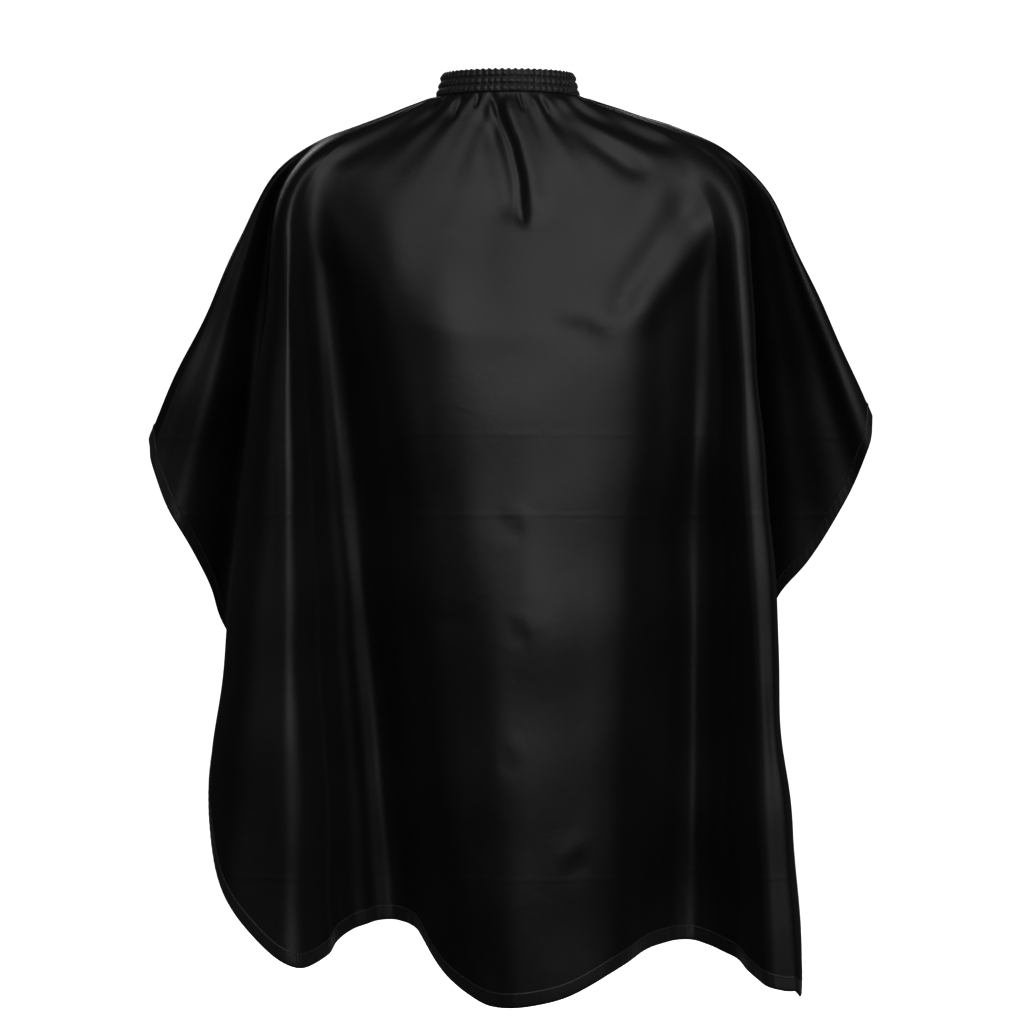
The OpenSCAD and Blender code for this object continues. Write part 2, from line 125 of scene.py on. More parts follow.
# Pleats sunk between the gathers below the neckband, in the same way: depth, half width, fade and line.
FRONT_CREASES = [
    (6.5, 4.2, 9, [(-18, -10), (-8, -35), (4, -66), (12, -101), (15, -150)]),
    (4.0, 2.8, 8, [(-46, -10), (-52, -24), (-56, -42)]),
    (3.0, 2.4, 6, [(-29, -10), (-34, -28)]),
    (3.0, 2.6, 7, [(9, -10), (16, -34)]),
    (2.0, 3.0, 9, [(30, -10), (44, -38)]),
    (2.0, 3.0, 9, [(-64, -10), (-80, -30)]),
]


# Columns of the panel, its rows from the neck to the break and from there to the hem, and the heights of its
# last rows above the hem's fold as shares of the hem's width.
COLUMNS, UPPER_ROWS, LOWER_ROWS = 660, 50, 70
HEM_ROWS = [0.9, 0.7, 0.5, 0.3, 0.14, 0.05, 0.0]

# What one operator leaves for the next: the panel's grid and the materials.
DONE = {}


def metres(name, words, value, **more):
    """A length property with the same unit and subtype everywhere."""
    return bpy.props.FloatProperty(name=name, description=words, default=value, unit="LENGTH", subtype="DISTANCE",
                                   precision=5, **more)


def linear(colour):
    """sRGB hex such as "#1a1a1c" as linear red, green and blue: ((c + 0.055) / 1.055) ** 2.4 above 0.04045."""
    srgb = [int(colour[i:i + 2], 16) / 255 for i in (1, 3, 5)]
    return [c / 12.92 if c <= 0.04045 else ((c + 0.055) / 1.055) ** 2.4 for c in srgb]


def paint(name, words, colour):
    """A colour property whose default is an sRGB hex."""
    return bpy.props.FloatVectorProperty(name=name, description=words, default=linear(colour), subtype="COLOR",
                                         min=0, max=1)


class CapeSizes(bpy.types.PropertyGroup):
    """Sizes of the cape's cloth and of what is sewn to it"""
    worn_w: metres("Worn width", "Width across the two side flaps", 736 * MM)
    worn_d: metres("Worn depth", "Depth from the front folds to the back folds", 430 * MM)
    front_len: metres("Front length", "Neck centre down to the lowest point of the front hem", 930 * MM)
    cloth_t: metres("Cloth thickness", "Thickness of the panel's cloth", 0.6 * MM)
    hem_w: metres("Hem width", "Width of the turned hem", 14 * MM)
    hem_t: metres("Hem thickness", "Thickness of the three layers in the hem", 2.0 * MM)
    gather: metres("Gathers", "Height of the gathers below the neckband", 1.9 * MM)
    puff: metres("Puffs", "Height of the neckband's puffs over its stitch rows", 2.1 * MM)
    puff_pitch: metres("Puff pitch", "Distance from one puff to the next round the neck", 7.0 * MM)
    stitch: metres("Stitch pitch", "Length of one stitch and the gap after it", 3.2 * MM)
    thread_r: metres("Thread radius", "Radius of the sewing thread as drawn", 0.36 * MM)


class CapePaints(bpy.types.PropertyGroup):
    """Colours of the cape's materials"""
    nylon: paint("Nylon", "Colour of the satin nylon", "#0a0a0b")
    nylon_worn: paint("Rubbed nylon", "Colour of the nylon where it is creased and rubbed", "#0f0f10")
    # Painted light: the sewn nylon's paler colour is the same black cloth drawn lighter, standing in for the sheen
    # on the hems and the neckband's puffs.
    nylon_sewn_painted_lit: paint("Sewn nylon", "Colour of the nylon in the hems and band, stretched and rubbed", "#1b1b1d")
    thread: paint("Thread", "Colour of the sewing thread", "#19191b")
    elastic: paint("Elastic", "Colour of the woven elastic", "#dedbd0")
    nickel: paint("Nickel", "Colour of the plated snaps", "#c4c1b8")
    floor: paint("Floor", "Colour of the studio's floor and backdrop", "#f2f2f2")


# ---------------------------------------------------------------- meshes

def mesh_piece(name, points, quads, material, uv=None):
    """One mesh object at the origin from whole arrays of points and four-cornered faces, shaded smooth."""
    mesh = bpy.data.meshes.new(name)
    mesh.vertices.add(len(points))
    mesh.vertices.foreach_set("co", np.ascontiguousarray(points, np.float32).ravel())
    mesh.loops.add(quads.size)
    mesh.loops.foreach_set("vertex_index", quads.astype(np.int32).ravel())
    mesh.polygons.add(len(quads))
    mesh.polygons.foreach_set("loop_start", np.arange(0, quads.size, 4, dtype=np.int32))
    mesh.polygons.foreach_set("use_smooth", np.ones(len(quads), bool))
    mesh.update(calc_edges=True)
    if uv is not None:
        layer = mesh.uv_layers.new(name="cloth")
        layer.data.foreach_set("uv", uv[quads.ravel()].astype(np.float32).ravel())
    if mesh.validate():
        raise RuntimeError(f"{name}: the mesh had faces that Blender threw away")
    mesh.materials.append(material)
    piece = bpy.data.objects.new(name, mesh)
    bpy.context.scene.collection.objects.link(piece)
    return piece


def grid_quads(rows, columns, wrap=False):
    """Corners of each face of a grid, point number = row * columns + column; wrap joins the last column to the
    first."""
    r, c = np.meshgrid(np.arange(rows - 1), np.arange(columns if wrap else columns - 1), indexing="ij")
    d = (c + 1) % columns
    corners = [r * columns + c, (r + 1) * columns + c, (r + 1) * columns + d, r * columns + d]
    return np.stack(corners, -1).reshape(-1, 4)


def two_sided(near, far):
    """A thin wall between two grids of the same shape: near face, far face turned round, and a rim along the
    border."""
    rows, columns = near.shape[:2]
    count = rows * columns
    face = grid_quads(rows, columns)
    number = np.arange(count).reshape(rows, columns)
    border = np.concatenate([number[0, :-1], number[:-1, -1], number[-1, :0:-1], number[:0:-1, 0]])
    ahead = np.roll(border, -1)
    rim = np.stack([border, ahead, ahead + count, border + count], -1)
    points = np.concatenate([near.reshape(-1, 3), far.reshape(-1, 3)])
    return points, np.concatenate([face, face[:, ::-1] + count, rim])


def tube(rings):
    """A closed tube through rings of points (ring, point, xyz), its two ends shut by faces across them. The rings
    run so that faces point outwards; each ring has an even number of points, the second half coming back."""
    m, n = rings.shape[:2]
    side = grid_quads(m, n, wrap=True)
    j = np.arange(n // 2 - 1)
    end = np.stack([j, j + 1, n - 2 - j, n - 1 - j], -1)
    return rings.reshape(-1, 3), np.concatenate([side, end, end[:, ::-1] + (m - 1) * n])


def normals(grid):
    """Unit normal at each point of a grid: rows' direction crossed with columns' direction."""
    down, along = np.gradient(grid, axis=0), np.gradient(grid, axis=1)
    n = np.cross(down, along)
    return n / np.maximum(np.linalg.norm(n, axis=-1, keepdims=True), 1e-12)


def smooth(low, high, x):
    """0 below low, 1 above high and 3u^2 - 2u^3 between them."""
    u = np.clip((x - low) / (high - low), 0, 1)
    return u * u * (3 - 2 * u)


def wander(seed, x, y, wave, count=9):
    """Soft random unevenness from -1 to 1: a mean of sines whose directions and phases are drawn once, with waves
    from 0.6 to 1.6 times the given length."""
    draw = np.random.default_rng(seed)
    angle, phase = draw.uniform(0, math.tau, count), draw.uniform(0, math.tau, count)
    length = wave * draw.uniform(0.6, 1.6, count)
    waves = [np.sin(math.tau * (x * math.cos(a) + y * math.sin(a)) / w + p)
             for a, p, w in zip(angle, phase, length)]
    return np.sum(waves, axis=0) / math.sqrt(count) * 0.8


# ---------------------------------------------------------------- the panel's shape

def sgn_pow(v, power):
    """|v| to a power, with the sign of v."""
    return np.sign(v) * np.abs(v) ** power


def hem_line(turn, sizes):
    """The hem as it would lie without folds, and each column's fold along y: a cubic through the hem's keys,
    p h00(u) + m h10(u) + q h01(u) + n h11(u), its slopes from the neighbours, less an even depth share of
    -0.6 + 1.4 (3v^2 - 2v^3), with v from 0 at 50 degrees to 1 at 130."""
    t, values = HEM_KEYS[:, 0], HEM_KEYS[:, 1:]
    number = np.arange(len(t))
    before, after = np.maximum(number - 1, 0), np.minimum(number + 1, len(t) - 1)
    slope = (values[after] - values[before]) / (t[after] - t[before])[:, None]
    k = np.clip(np.searchsorted(t, turn, side="right") - 1, 0, len(t) - 2)
    w = (t[k + 1] - t[k])[:, None]
    u = (turn - t[k])[:, None] / w
    share = ((2 * u**3 - 3 * u**2 + 1) * values[k] + (u**3 - 2 * u**2 + u) * w * slope[k]
             + (3 * u**2 - 2 * u**3) * values[k + 1] + (u**3 - u**2) * w * slope[k + 1])
    even = -0.6 + 1.4 * smooth(50, 130, np.abs(turn))
    fold = (share[:, 1] - even) * sizes.worn_d / 2
    share[:, 1] = even
    line = share * [sizes.worn_w / 2, sizes.worn_d / 2, -sizes.front_len]
    line[:, 0] += MM * turn / 180
    return line, fold


def break_line(turn):
    """Where the cloth breaks from lying on the shoulders to hanging: x = shift + half width * |s|^(0.85 - 0.15 c),
    y = -reach |c|^0.8, z = -drop - (fall - drop) |c|^2.5, with s and c the sine and cosine of the direction."""
    s, c = np.sin(np.radians(turn)), np.cos(np.radians(turn))
    reach, fall = np.where(c > 0, CHEST_REACH, BACK_REACH), np.where(c > 0, CHEST_FALL, BACK_FALL)
    across = np.sign(turn) * SHOULDER_HALF * np.abs(s) ** (0.85 - 0.15 * c) + SHOULDER_SHIFT
    return MM * np.stack([across + turn / 180, -sgn_pow(c, 0.8) * reach,
                          -SHOULDER_DROP - (fall - SHOULDER_DROP) * np.abs(c) ** 2.5], -1)


def on_cone(turn, z, lift):
    """Point of the neckband's cone at a direction and height: radius = 69 mm - fall * (z - low) + lift /
    cos(tilt)."""
    radius = CONE_R - (z - BAND_LOW) * CONE_FALL + lift / CONE_COS
    angle = np.radians(turn)
    return np.stack(np.broadcast_arrays(radius * np.sin(angle), -radius * np.cos(angle), z), -1)


def opening(turn):
    """How late a column's fold opens below the break: 1.4 + 0.7 exp(-((turn - 16) / 28)^2)."""
    return 1.4 + 0.7 * np.exp(-(((turn - 16) / 28) ** 2))


def hang(turn, neck, brk, hem, fold, f):
    """Points of columns from the neck seam, f = 0, over the break, f = 1, to the hem, f = 2: two straight lines
    joined by the quadratic curve p (1-u)^2 + 2 b u (1-u) + q u^2 about the break. The fold opens below it as
    fold * (1 - (1 - v^e)^3), with v from 0 where the curve starts to 1 at the hem and e the column's opening."""
    a = np.linalg.norm(brk - neck, axis=-1, keepdims=True)
    b = np.linalg.norm(hem - brk, axis=-1, keepdims=True)
    w = np.minimum(70 * MM, 0.45 * np.minimum(a, b))
    low, high = 1 - w / a, 1 + w / b
    f = f[..., None]
    u = np.clip((f - low) / (high - low), 0, 1)
    p, q = brk + (neck - brk) * w / a, brk + (hem - brk) * w / b
    curve = p * (1 - u) ** 2 + 2 * brk * u * (1 - u) + q * u**2
    line = np.where(f < low, neck + (brk - neck) * f, np.where(f > high, brk + (hem - brk) * (f - 1), curve))
    v = np.clip((f - low) / (2 - low), 0, 1)[..., 0]
    line[..., 1] += fold * (1 - (1 - v ** opening(turn)) ** 3)
    return line


def fold_beside(x, z, height, width, fade, line, sunk=False):
    """A roll beside a line, height * q * exp((1 - q^2) / 2), or a sunk crease along it, -height * exp(-q^2), where
    q is the signed distance from the line over the width. Both fade in over the line's first and last stretch."""
    points = MM * np.array(line, float)
    nearest, roll = np.full(x.shape, np.inf), np.zeros(x.shape)
    lengths = np.hypot(*np.diff(points, axis=0).T)
    starts = np.r_[0, np.cumsum(lengths)]
    for a, b, start, length in zip(points[:-1], points[1:], starts, lengths):
        way = (b - a) / length
        along = np.clip((x - a[0]) * way[0] + (z - a[1]) * way[1], 0, length)
        dx, dz = x - a[0] - along * way[0], z - a[1] - along * way[1]
        distance = np.hypot(dx, dz)
        side = np.sign(way[0] * dz - way[1] * dx)
        ends = smooth(0, fade * MM, start + along) * smooth(0, fade * MM, starts[-1] - start - along)
        q = side * distance / (width * MM)
        here = distance < nearest
        shape = -np.exp(-q * q) if sunk else q * np.exp((1 - q * q) / 2)
        roll = np.where(here, height * MM * shape * ends, roll)
        nearest = np.minimum(nearest, distance)
    return roll


def column_turns(sizes):
    """Directions of the panel's columns: equal steps of the summed distance along the neck, break and hem."""
    fine = np.linspace(-180, 180, 7201)
    (hem, fold), brk = hem_line(fine, sizes), break_line(fine)
    hem[:, 1] += fold
    steps = sum(np.linalg.norm(np.diff(line, axis=0), axis=-1) for line in (hem, brk, on_cone(fine, BAND_LOW, 0)))
    reach = np.r_[0, np.cumsum(steps)]
    return np.interp(np.linspace(0, reach[-1], COLUMNS), reach, fine)


def panel_grid(sizes):
    """The panel's outer face as a grid (row, column), with each point's place on the flat cloth in metres. The
    hang is moved along its normals by gathers below the band, single folds, ripples in the flaps and slow
    unevenness."""
    if "panel" in DONE:
        return DONE["panel"]
    turn = column_turns(sizes)
    (hem, fold), brk = hem_line(turn, sizes), break_line(turn)
    neck_turn = turn * (1 - math.asin(SLIT_GAP / 2 / CONE_R) / math.pi)
    neck = on_cone(neck_turn, BAND_LOW, TUCK_LIFT)
    tuck = on_cone(neck_turn, BAND_LOW + SEAM_TUCK, TUCK_LIFT)
    drop = np.linalg.norm(hem - brk, axis=-1)
    upper = np.linspace(0, 1, UPPER_ROWS) ** 1.25
    lower = np.linspace(0, 1, LOWER_ROWS)[1:, None] * (1 - sizes.hem_w / drop)
    above = np.array(HEM_ROWS)[:, None] * sizes.hem_w / drop
    f = np.concatenate([np.repeat(upper[:, None], len(turn), 1), 1 + lower, 2 - above])
    grid = hang(turn, neck, brk, hem, fold, f)
    out = normals(grid)
    s = np.cumsum(np.r_[np.zeros((1, len(turn))), np.linalg.norm(np.diff(grid, axis=0), axis=-1)], axis=0)
    t = np.broadcast_to(turn, f.shape)
    x, z = grid[..., 0], grid[..., 2]
    angle = np.radians(t)

    rise = smooth(0, 14 * MM, s)
    gathers = (0.55 * np.sin(23 * angle + 1.1 * np.sin(3 * angle + 0.4))
               + 0.45 * np.sin(37 * angle + 2 + np.sin(5 * angle))
               + 0.4 * np.sin(13 * angle + 0.7) * smooth(10 * MM, 60 * MM, s))
    shift = sizes.gather * gathers * rise * np.exp(-s / (60 * MM))
    front = (np.abs(t) < 62) & (out[..., 1] < 0.6)
    for roll in FRONT_FOLDS:
        shift = shift + np.where(front, fold_beside(x, z, *roll) * rise, 0)
    for crease in FRONT_CREASES:
        shift = shift + np.where(front, fold_beside(x, z, *crease, sunk=True), 0)
    hanging = smooth(0.9, 2.0, f)
    flap = np.exp(-(((np.abs(t) - 78) / 30) ** 2))
    ripples = 4.0 * np.sin(math.tau * t / 10.5 + 0.8 * np.sin(angle * 4)) + 1.8 * np.sin(math.tau * t / 4.7)
    shift = shift + MM * hanging * flap * ripples
    back = smooth(100, 125, np.abs(t)) * smooth(180, 172, np.abs(t))
    shift = shift + MM * hanging * back * 3.0 * np.sin(math.tau * t / 13 + 1.2)
    calm = smooth(20 * MM, 90 * MM, s)
    shift = shift + MM * calm * (2.2 * wander(3, x, z, 190 * MM) + 0.9 * wander(11, x, z * 0.6, 70 * MM))
    ripple = np.exp(-(2 - f) * drop / (45 * MM)) * hanging
    shift = shift + MM * ripple * 1.3 * wander(23, t * 4 * MM, z * 0.2, 42 * MM)
    grid = grid + out * shift[..., None]
    grid = np.concatenate([tuck[None], grid])

    reach = np.cumsum(np.r_[0, np.linalg.norm(np.diff(grid[-1], axis=0), axis=-1)])
    flat_turn = (reach / reach[-1] - 0.5) * 2 * math.pi
    s = np.concatenate([np.full((1, len(turn)), -SEAM_TUCK), s]) + FLAT_NECK_R
    flat = np.stack([s * np.sin(flat_turn), -s * np.cos(flat_turn)], -1)
    DONE["panel"] = {"turn": turn, "grid": grid, "flat": flat, "out": normals(grid)}
    return DONE["panel"]


# ---------------------------------------------------------------- materials

def add(tree, kind, inputs=None, **settings):
    """Adds one node with its settings. An input's value is a number, a colour or another node's output."""
    node = tree.nodes.new(kind)
    for name, value in settings.items():
        setattr(node, name, value)
    for name, value in (inputs or {}).items():
        if isinstance(value, bpy.types.NodeSocket):
            tree.links.new(value, node.inputs[name])
        else:
            node.inputs[name].default_value = value
    return node


def new_material(name, **settings):
    """A material with its shader's own constant values, and its node tree and shader."""
    material = bpy.data.materials.new(name)
    material.use_nodes = True
    tree = material.node_tree
    tree.nodes.clear()
    shader = add(tree, "ShaderNodeBsdfPrincipled", {k.replace("_", " "): v for k, v in settings.items()})
    output = add(tree, "ShaderNodeOutputMaterial")
    tree.links.new(shader.outputs["BSDF"], output.inputs["Surface"])
    material.diffuse_color = (0.05, 0.05, 0.05, 1)
    return material, tree, shader


def rgba(colour):
    """A colour property as red, green, blue and alpha."""
    return (*colour, 1.0)


def satin_nylon(name, paints, creased, sheen):
    """Satin nylon, woven from filament yarn and calendered on one side: deep black with a soft, broad shine. Its
    yarns are 0.2 mm apart, too fine to show here, and are drawn 1.3 mm apart. Handling leaves faint crumples and,
    on the creased panel, paler rubbed spots, and storage leaves straight ironed-in folds where the cloth is
    creased.
    On the sewn pieces the paler colour mixed in is painted light instead: a lighter copy of the same cloth that
    stands in for the sheen on the hems and puffs."""
    material, tree, shader = new_material(name, Roughness=0.5, IOR=1.5, Sheen_Weight=sheen, Sheen_Roughness=0.45)
    place = add(tree, "ShaderNodeTexCoord")
    broad = add(tree, "ShaderNodeTexNoise", {"Vector": place.outputs["Object"], "Scale": 7.0, "Detail": 3.0})
    tint = add(tree, "ShaderNodeMapRange", {"Value": broad.outputs["Fac"], "From Min": 0.35, "From Max": 0.7})
    # The second colour is paler rubbed wear on the panel. On the sewn pieces it is painted light, standing in for
    # the sheen on the hems and puffs.
    colour = add(tree, "ShaderNodeMix", {"Factor": tint.outputs["Result"], "A": rgba(paints.nylon),
                                         "B": rgba(paints.nylon_worn if creased else paints.nylon_sewn_painted_lit)},
                 data_type="RGBA")
    tree.links.new(colour.outputs["Result"], shader.inputs["Base Color"])
    rub = add(tree, "ShaderNodeMapRange", {"Value": broad.outputs["Fac"], "From Min": 0.3, "From Max": 0.75,
                                           "To Min": 0.48, "To Max": 0.58})
    tree.links.new(rub.outputs["Result"], shader.inputs["Roughness"])
    weave_x = add(tree, "ShaderNodeTexWave", {"Vector": place.outputs["UV"], "Scale": 0.314 / 1.3 / MM},
                  wave_type="BANDS", bands_direction="X")
    weave_y = add(tree, "ShaderNodeTexWave", {"Vector": place.outputs["UV"], "Scale": 0.314 / 1.3 / MM},
                  wave_type="BANDS", bands_direction="Y")
    weave = add(tree, "ShaderNodeMath", {0: weave_x.outputs["Fac"], 1: weave_y.outputs["Fac"]}, operation="ADD")
    bump = add(tree, "ShaderNodeBump", {"Height": weave.outputs["Value"], "Strength": 0.25, "Distance": 0.03 * MM})
    crumple = add(tree, "ShaderNodeTexNoise", {"Vector": place.outputs["Object"], "Scale": 26.0, "Detail": 5.0,
                                               "Roughness": 0.55, "Distortion": 0.6})
    bump = add(tree, "ShaderNodeBump", {"Height": crumple.outputs["Fac"], "Strength": 0.35, "Distance": 1.6 * MM,
                                        "Normal": bump.outputs["Normal"]})
    if creased:
        split = add(tree, "ShaderNodeSeparateXYZ", {"Vector": place.outputs["Object"]})
        for axis, at, sharp in (("Z", -0.357, 0.5), ("Z", -0.436, 0.8), ("Z", -0.792, 0.6), ("X", 0.083, 0.4)):
            apart = add(tree, "ShaderNodeMath", {0: split.outputs[axis], 1: -at}, operation="ADD")
            near = add(tree, "ShaderNodeMath", {0: apart.outputs["Value"]}, operation="ABSOLUTE")
            span = {"From Min": 0.0, "From Max": 5 * MM, "To Min": 1.0, "To Max": 0.0}
            ridge = add(tree, "ShaderNodeMapRange", {"Value": near.outputs["Value"], **span},
                        interpolation_type="SMOOTHSTEP")
            bump = add(tree, "ShaderNodeBump", {"Height": ridge.outputs["Result"], "Strength": 0.5,
                                                "Distance": 0.35 * sharp * MM, "Normal": bump.outputs["Normal"]})
    tree.links.new(bump.outputs["Normal"], shader.inputs["Normal"])
    return material


def spun_thread(name, colour):
    """Polyester sewing thread, spun and twisted: matt, with a twist drawn every 1.1 mm across its length."""
    material, tree, shader = new_material(name, Base_Color=rgba(colour), Roughness=0.55, Sheen_Weight=0.15)
    place = add(tree, "ShaderNodeTexCoord")
    twist = add(tree, "ShaderNodeTexWave", {"Vector": place.outputs["Object"], "Scale": 0.314 / 1.1 / MM,
                                            "Distortion": 2.0}, wave_type="BANDS", bands_direction="DIAGONAL")
    bump = add(tree, "ShaderNodeBump", {"Height": twist.outputs["Fac"], "Strength": 0.5, "Distance": 0.1 * MM})
    tree.links.new(bump.outputs["Normal"], shader.inputs["Normal"])
    return material


def woven_elastic(name, colour):
    """Woven elastic, rubber cores in spun polyester: off-white and matt, ribbed lengthways every 0.9 mm, with
    painted shade darkening the grooves.
    """
    material, tree, shader = new_material(name, Roughness=0.8, Sheen_Weight=0.3)
    place = add(tree, "ShaderNodeTexCoord")
    rib = add(tree, "ShaderNodeTexWave", {"Vector": place.outputs["UV"], "Scale": 0.314 / 0.9 / MM},
              wave_type="BANDS", bands_direction="Y")
    pick = add(tree, "ShaderNodeTexWave", {"Vector": place.outputs["UV"], "Scale": 0.314 / 1.2 / MM},
               wave_type="BANDS", bands_direction="X")
    both = add(tree, "ShaderNodeMath", {0: rib.outputs["Fac"], 1: pick.outputs["Fac"]}, operation="MULTIPLY")
    # Painted shade: where the ribs and picks sink, following the bump's own height, the colour drops to 70 %.
    shade = add(tree, "ShaderNodeMix", {"Factor": both.outputs["Value"], "A": rgba([0.7 * c for c in colour]),
                                        "B": rgba(colour)}, data_type="RGBA")
    bump = add(tree, "ShaderNodeBump", {"Height": both.outputs["Value"], "Strength": 0.6, "Distance": 0.2 * MM})
    tree.links.new(shade.outputs["Result"], shader.inputs["Base Color"])
    tree.links.new(bump.outputs["Normal"], shader.inputs["Normal"])
    return material


def nickel_plate(name, colour):
    """Nickel-plated steel, pressed and barrel-plated: bright and slightly warm, with fine tumbling marks 0.4 mm
    long and a duller skin where the snaps are handled."""
    material, tree, shader = new_material(name, Base_Color=rgba(colour), Metallic=1.0)
    place = add(tree, "ShaderNodeTexCoord")
    mark = add(tree, "ShaderNodeTexNoise", {"Vector": place.outputs["Object"], "Scale": 2500.0, "Detail": 3.0})
    dull = add(tree, "ShaderNodeTexNoise", {"Vector": place.outputs["Object"], "Scale": 260.0, "Detail": 2.0})
    rough = add(tree, "ShaderNodeMapRange", {"Value": dull.outputs["Fac"], "From Min": 0.3, "From Max": 0.7,
                                             "To Min": 0.2, "To Max": 0.36})
    bump = add(tree, "ShaderNodeBump", {"Height": mark.outputs["Fac"], "Strength": 0.15, "Distance": 0.02 * MM})
    tree.links.new(rough.outputs["Result"], shader.inputs["Roughness"])
    tree.links.new(bump.outputs["Normal"], shader.inputs["Normal"])
    return material


def finish_of(kind):
    """The named material, made once."""
    paints = bpy.context.scene.cape_paints
    if kind not in DONE:
        DONE[kind] = {
            "satin_nylon": lambda: satin_nylon("satin_nylon_creased", paints, True, 0.02),
            # The sewn nylon's paler colour is painted light, for the sheen on the hems and puffs.
            "sewn_nylon_painted_lit": lambda: satin_nylon("satin_nylon_sewn", paints, False, 0.2),
            "spun_thread": lambda: spun_thread("spun_polyester_thread", paints.thread),
            "woven_elastic": lambda: woven_elastic("woven_elastic", paints.elastic),
            "nickel_plate": lambda: nickel_plate("nickel_plated_steel", paints.nickel)}[kind]()
    return DONE[kind]


# ---------------------------------------------------------------- pieces sewn to the panel

def between(line, factor):
    """Arrays refined along axis 1 by straight lines, so that they stay on the panel's own faces."""
    count = line.shape[1]
    at = np.linspace(0, count - 1, (count - 1) * factor + 1)
    k = np.minimum(at.astype(int), count - 2)
    u = (at - k)[None, :, None]
    return line[:, k] * (1 - u) + line[:, k + 1] * u


def hem_rings(rows, outs, thickness, length_wave):
    """A flattened tube about cloth rows that run from the hem's upper edge to its fold, for each column: half the
    thickness out on the near side, the same in on the far side, thinner at the upper edge, round at the fold, and
    puckered by a wave along its length."""
    count = len(rows)
    share = np.linspace(0, 1, count)[:, None, None]
    half = thickness / 2 * (0.62 + 0.38 * np.sin(share * math.pi * 0.62 + 0.25)) * length_wave[None, :, None]
    half = np.where(share > 0.999, 0.45 * half, half)
    middle = rows - outs * 0.3 * MM
    step = rows[-1] - rows[-2]
    fold = rows[-1] + step / np.linalg.norm(step, axis=-1, keepdims=True) * 0.7 * MM
    middle = np.concatenate([middle[:-1], (fold - outs[-1] * 0.3 * MM)[None]])
    ring = np.concatenate([middle + outs * half, (middle - outs * half)[::-1]])
    return ring.transpose(1, 0, 2)


def pucker(reach, stitch, seed):
    """1 plus a small wave that draws the hem in at its stitches, uneven along the seam."""
    return 1 + 0.1 * np.sin(math.tau * reach / (3 * stitch)) + 0.12 * wander(seed, reach, reach * 0, 30 * MM)


def sew(name, line, outs, sizes):
    """Stitches along a line: capsules of six sides, each as long as the pitch less its gap, lifted off the cloth
    in the middle and sunk in it at both ends."""
    reach = np.r_[0, np.cumsum(np.linalg.norm(np.diff(line, axis=0), axis=-1))]
    pitch, radius = sizes.stitch, sizes.thread_r
    count = int(reach[-1] / pitch)
    ends = (np.arange(count)[:, None] + [0.08, 0.86]) * pitch + (reach[-1] - count * pitch) / 2
    a, b = (np.stack([np.interp(ends[:, e], reach, line[:, i]) for i in range(3)], -1) for e in (0, 1))
    n = np.stack([np.interp(ends.mean(1), reach, outs[:, i]) for i in range(3)], -1)
    along = (b - a) / np.linalg.norm(b - a, axis=-1, keepdims=True)
    side = np.cross(along, n)
    side /= np.linalg.norm(side, axis=-1, keepdims=True)
    n = np.cross(side, along)
    share, size = np.array([0, 0.16, 0.5, 0.84, 1]), np.array([0.5, 1, 1.05, 1, 0.5])
    lift = np.array([-0.9, -0.1, 0.3, -0.1, -0.9])
    angle = np.arange(6) * math.tau / 6
    centre = a[:, None] + (b - a)[:, None] * share[:, None] + n[:, None] * (lift * radius)[:, None]
    spoke = side[:, None] * np.cos(angle)[:, None] + n[:, None] * np.sin(angle)[:, None]
    rings = centre[:, :, None] + spoke[:, None] * (size * radius)[:, None, None]
    ends = [[0, 1, 2, 3], [0, 3, 4, 5], [27, 26, 25, 24], [29, 28, 27, 24]]
    one = np.concatenate([grid_quads(5, 6, wrap=True), ends])
    quads = (one[None] + 30 * np.arange(count)[:, None, None]).reshape(-1, 4)
    return mesh_piece(name, rings.reshape(-1, 3), quads[:, ::-1], finish_of("spun_thread"))


def flip_if_inside_out(points, quads):
    """Turns all faces round if the closed mesh's volume, the sum of a . (b x c) / 6 over its triangles, is
    negative."""
    a, b, c, d = (points[quads[:, i]] for i in range(4))
    volume = np.einsum("ij,ij->i", a, np.cross(b, c)).sum() + np.einsum("ij,ij->i", a, np.cross(c, d)).sum()
    return quads if volume > 0 else quads[:, ::-1]


def closed_piece(name, points, quads, material, uv=None):
    """A mesh piece from a closed shell, with its faces pointing outwards."""
    return mesh_piece(name, points, flip_if_inside_out(points, quads), material, uv)


# ---------------------------------------------------------------- pieces of the neckband

def slab_on_cone(turns, low, top, from_lift, to_lift, corner, wave):
    """A soft flat band on the neckband's cone: a rounded oblong section carried round the neck, its corners
    rounded to a radius where it ends, its edges pressed thin and its face a little uneven."""
    reach = np.radians(turns - turns[0]) * CONE_R
    near_end = np.minimum(reach, reach[-1] - reach)
    cut = np.where(near_end < corner, corner - np.sqrt(np.maximum(corner**2 - (corner - near_end) ** 2, 0)), 0)
    loop = np.linspace(0, 2, 26, endpoint=False)
    back = loop >= 1
    share = np.where(back, 2 - loop, loop)
    across = np.sin((share - 0.5) * math.pi) * 0.5 + 0.5
    edge = np.sqrt(np.clip(np.sin(share * math.pi), 0.02, 1)) ** 0.6
    half = (to_lift - from_lift) / 2
    z = low + cut[:, None] + (top - low - 2 * cut)[:, None] * across
    middle = (from_lift + to_lift) / 2
    lift = middle + np.where(back, -1, 1) * half * edge
    ends = np.sqrt(np.clip(near_end / (0.8 * MM), 0.06, 1))[:, None]
    lift = middle + (lift - middle) * ends
    lift = lift + wave * wander(41, reach[:, None], z, 22 * MM)
    rings = on_cone(turns[:, None], z, lift)
    uv = np.stack(np.broadcast_arrays(reach[:, None], z), -1)
    points, quads = tube(rings)
    return points, quads, uv.reshape(-1, 2)


